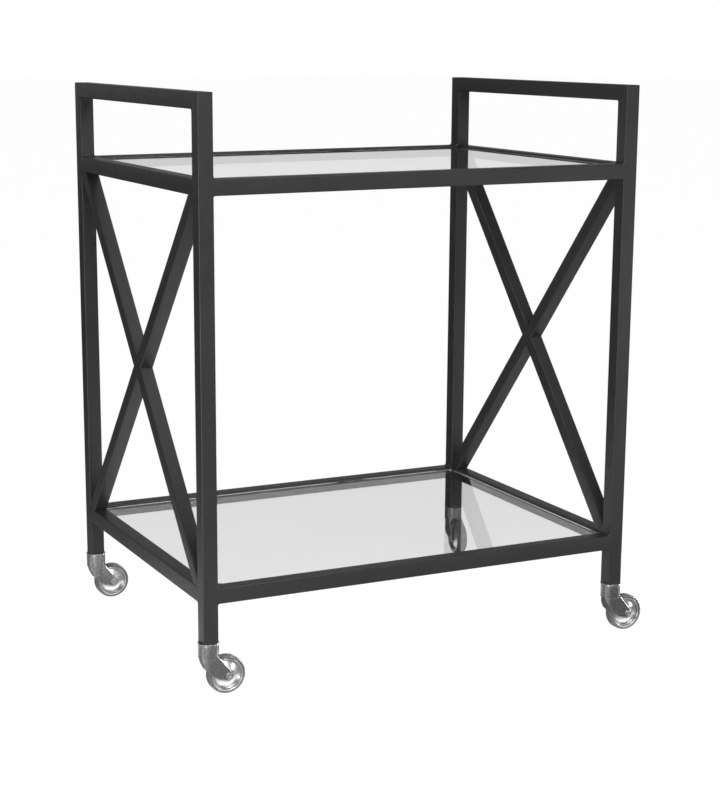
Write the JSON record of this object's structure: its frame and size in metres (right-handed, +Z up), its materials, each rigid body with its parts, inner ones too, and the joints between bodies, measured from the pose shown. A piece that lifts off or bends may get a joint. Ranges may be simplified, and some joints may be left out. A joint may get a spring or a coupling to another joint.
{
  "type": "bar cart",
  "caption": "Bar cart with a charcoal square-tube frame, crossed braces and handle loops at the ends, clear glass shelves, and swivel casters.",
  "frame": {"origin": "centre of the bounding box on the floor, the casters standing as they are stored", "axes": "+X along the long side from left to right, +Y from front to back, +Z up"},
  "size_m": [0.8158, 0.5802, 0.921],
  "materials": {
    "frame_paint": "satin charcoal powder coat",
    "shelf_glass": "clear, ground edges",
    "caster_metal": "satin nickel-grey casting",
    "bright_steel": "bright zinc plate",
    "tyre_rubber": "matte grey",
    "insert_plastic": "black"
  },
  "bodies": {
    "frame": {"post_front_left": "frame_paint", "post_front_right": "frame_paint", "post_back_left": "frame_paint", "post_back_right": "frame_paint", "handle_left": "frame_paint", "handle_right": "frame_paint", "rail_top_left": "frame_paint", "rail_top_right": "frame_paint", "rail_top_front": "frame_paint", "rail_top_back": "frame_paint", "rail_low_left": "frame_paint", "rail_low_right": "frame_paint", "rail_low_front": "frame_paint", "rail_low_back": "frame_paint", "brace_left_through": "frame_paint", "brace_left_upper": "frame_paint", "brace_left_lower": "frame_paint", "brace_right_through": "frame_paint", "brace_right_upper": "frame_paint", "brace_right_lower": "frame_paint", "tab_top_front_left": "frame_paint", "tab_top_front_right": "frame_paint", "tab_top_back_left": "frame_paint", "tab_top_back_right": "frame_paint", "tab_low_front_left": "frame_paint", "tab_low_front_right": "frame_paint", "tab_low_back_left": "frame_paint", "tab_low_back_right": "frame_paint", "glass_top": "shelf_glass", "glass_low": "shelf_glass", "insert_front_left": "insert_plastic", "insert_front_right": "insert_plastic", "insert_back_left": "insert_plastic", "insert_back_right": "insert_plastic", "stem_front_left": "bright_steel", "stem_front_right": "bright_steel", "stem_back_left": "bright_steel", "stem_back_right": "bright_steel", "ring_front_left": "bright_steel", "ring_front_right": "bright_steel", "ring_back_left": "bright_steel", "ring_back_right": "bright_steel"},
    "caster_front_left": {"fork_front_left": "caster_metal", "axle_front_left": "bright_steel"},
    "caster_front_right": {"fork_front_right": "caster_metal", "axle_front_right": "bright_steel"},
    "caster_back_left": {"fork_back_left": "caster_metal", "axle_back_left": "bright_steel"},
    "caster_back_right": {"fork_back_right": "caster_metal", "axle_back_right": "bright_steel"},
    "roller_front_left": {"wheel_front_left": "bright_steel", "tyre_front_left": "tyre_rubber"},
    "roller_front_right": {"wheel_front_right": "bright_steel", "tyre_front_right": "tyre_rubber"},
    "roller_back_left": {"wheel_back_left": "bright_steel", "tyre_back_left": "tyre_rubber"},
    "roller_back_right": {"wheel_back_right": "bright_steel", "tyre_back_right": "tyre_rubber"}
  },
  "joints": [
    {"name": "swivel_front_left", "type": "hinge", "parent": "frame", "child": "caster_front_left", "pos_m": [-0.3906, -0.2725, 0.075], "axis": [0, 0, 1], "continuous": true},
    {"name": "swivel_front_right", "type": "hinge", "parent": "frame", "child": "caster_front_right", "pos_m": [0.3494, -0.2725, 0.075], "axis": [0, 0, 1], "continuous": true},
    {"name": "swivel_back_left", "type": "hinge", "parent": "frame", "child": "caster_back_left", "pos_m": [-0.3906, 0.2725, 0.075], "axis": [0, 0, 1], "continuous": true},
    {"name": "swivel_back_right", "type": "hinge", "parent": "frame", "child": "caster_back_right", "pos_m": [0.3494, 0.2725, 0.075], "axis": [0, 0, 1], "continuous": true},
    {"name": "roll_front_left", "type": "hinge", "parent": "caster_front_left", "child": "roller_front_left", "pos_m": [-0.3626, -0.2725, 0.0305], "axis": [0, 1, 0], "continuous": true},
    {"name": "roll_front_right", "type": "hinge", "parent": "caster_front_right", "child": "roller_front_right", "pos_m": [0.3774, -0.2725, 0.0305], "axis": [0, 1, 0], "continuous": true},
    {"name": "roll_back_left", "type": "hinge", "parent": "caster_back_left", "child": "roller_back_left", "pos_m": [-0.3626, 0.2725, 0.0305], "axis": [0, 1, 0], "continuous": true},
    {"name": "roll_back_right", "type": "hinge", "parent": "caster_back_right", "child": "roller_back_right", "pos_m": [0.34454, 0.24493, 0.0305], "axis": [0.9848, -0.1736, 0], "continuous": true}
  ]
}
